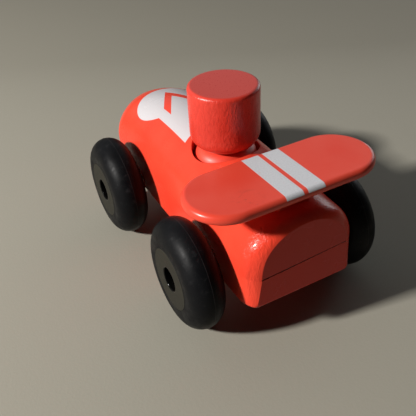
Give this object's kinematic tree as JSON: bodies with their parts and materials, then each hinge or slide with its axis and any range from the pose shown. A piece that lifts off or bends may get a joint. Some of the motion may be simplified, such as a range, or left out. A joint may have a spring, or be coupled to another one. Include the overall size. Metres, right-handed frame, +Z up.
{
  "type": "toy racing car",
  "caption": "Wooden push-along racing car with a domed nose, a lift-out peg driver, a plank rear wing and fat round wheels that turn freely.",
  "frame": {"origin": "on the floor, under the middle of the car's length and width", "axes": "+X is the driving direction, +Y is the driver's left, +Z is up"},
  "size_m": [0.1508, 0.0894, 0.0855],
  "materials": {
    "body_paint": "glossy red paint",
    "wing_paint": "satin red paint",
    "driver_paint": "satin red paint over wood grain",
    "bare_wood": "bare beech",
    "axle_steel": "plain steel rod",
    "tyre_rubber": "satin black",
    "hub_plastic": "matte dark grey",
    "cap_black": "gloss black",
    "washer_nylon": "natural nylon"
  },
  "bodies": {
    "chassis": {"body_upper": "body_paint", "body_lower": "body_paint", "rear_wing": "wing_paint", "wing_dowel_front": "bare_wood", "wing_dowel_rear": "bare_wood", "axle_front": "axle_steel", "axle_rear": "axle_steel", "axle_cap_front_left": "cap_black", "axle_cap_front_right": "cap_black", "axle_cap_rear_left": "cap_black", "axle_cap_rear_right": "cap_black", "washer_front_left": "washer_nylon", "washer_front_right": "washer_nylon", "washer_rear_left": "washer_nylon", "washer_rear_right": "washer_nylon"},
    "driver": {"driver_body": "driver_paint"},
    "head": {"driver_head": "driver_paint", "driver_neck": "bare_wood"},
    "wheel_front_left": {"tyre_front_left": "tyre_rubber", "hub_front_left": "hub_plastic"},
    "wheel_front_right": {"tyre_front_right": "tyre_rubber", "hub_front_right": "hub_plastic"},
    "wheel_rear_left": {"tyre_rear_left": "tyre_rubber", "hub_rear_left": "hub_plastic"},
    "wheel_rear_right": {"tyre_rear_right": "tyre_rubber", "hub_rear_right": "hub_plastic"}
  },
  "joints": [
    {"name": "driver_lift", "type": "slide", "parent": "chassis", "child": "driver", "axis": [0, 0, 1], "range_m": [0, 0.024]},
    {"name": "head_turn", "type": "hinge", "parent": "driver", "child": "head", "pos_m": [-0.0161, 0, 0.06], "axis": [0, 0, 1], "continuous": true},
    {"name": "wheel_front_left_spin", "type": "hinge", "parent": "chassis", "child": "wheel_front_left", "pos_m": [0.0286, 0.0368, 0.024], "axis": [0, 1, 0], "continuous": true},
    {"name": "wheel_front_right_spin", "type": "hinge", "parent": "chassis", "child": "wheel_front_right", "pos_m": [0.0286, -0.0368, 0.024], "axis": [0, 1, 0], "continuous": true},
    {"name": "wheel_rear_left_spin", "type": "hinge", "parent": "chassis", "child": "wheel_rear_left", "pos_m": [-0.0462, 0.0368, 0.024], "axis": [0, 1, 0], "continuous": true},
    {"name": "wheel_rear_right_spin", "type": "hinge", "parent": "chassis", "child": "wheel_rear_right", "pos_m": [-0.0462, -0.0368, 0.024], "axis": [0, 1, 0], "continuous": true}
  ]
}
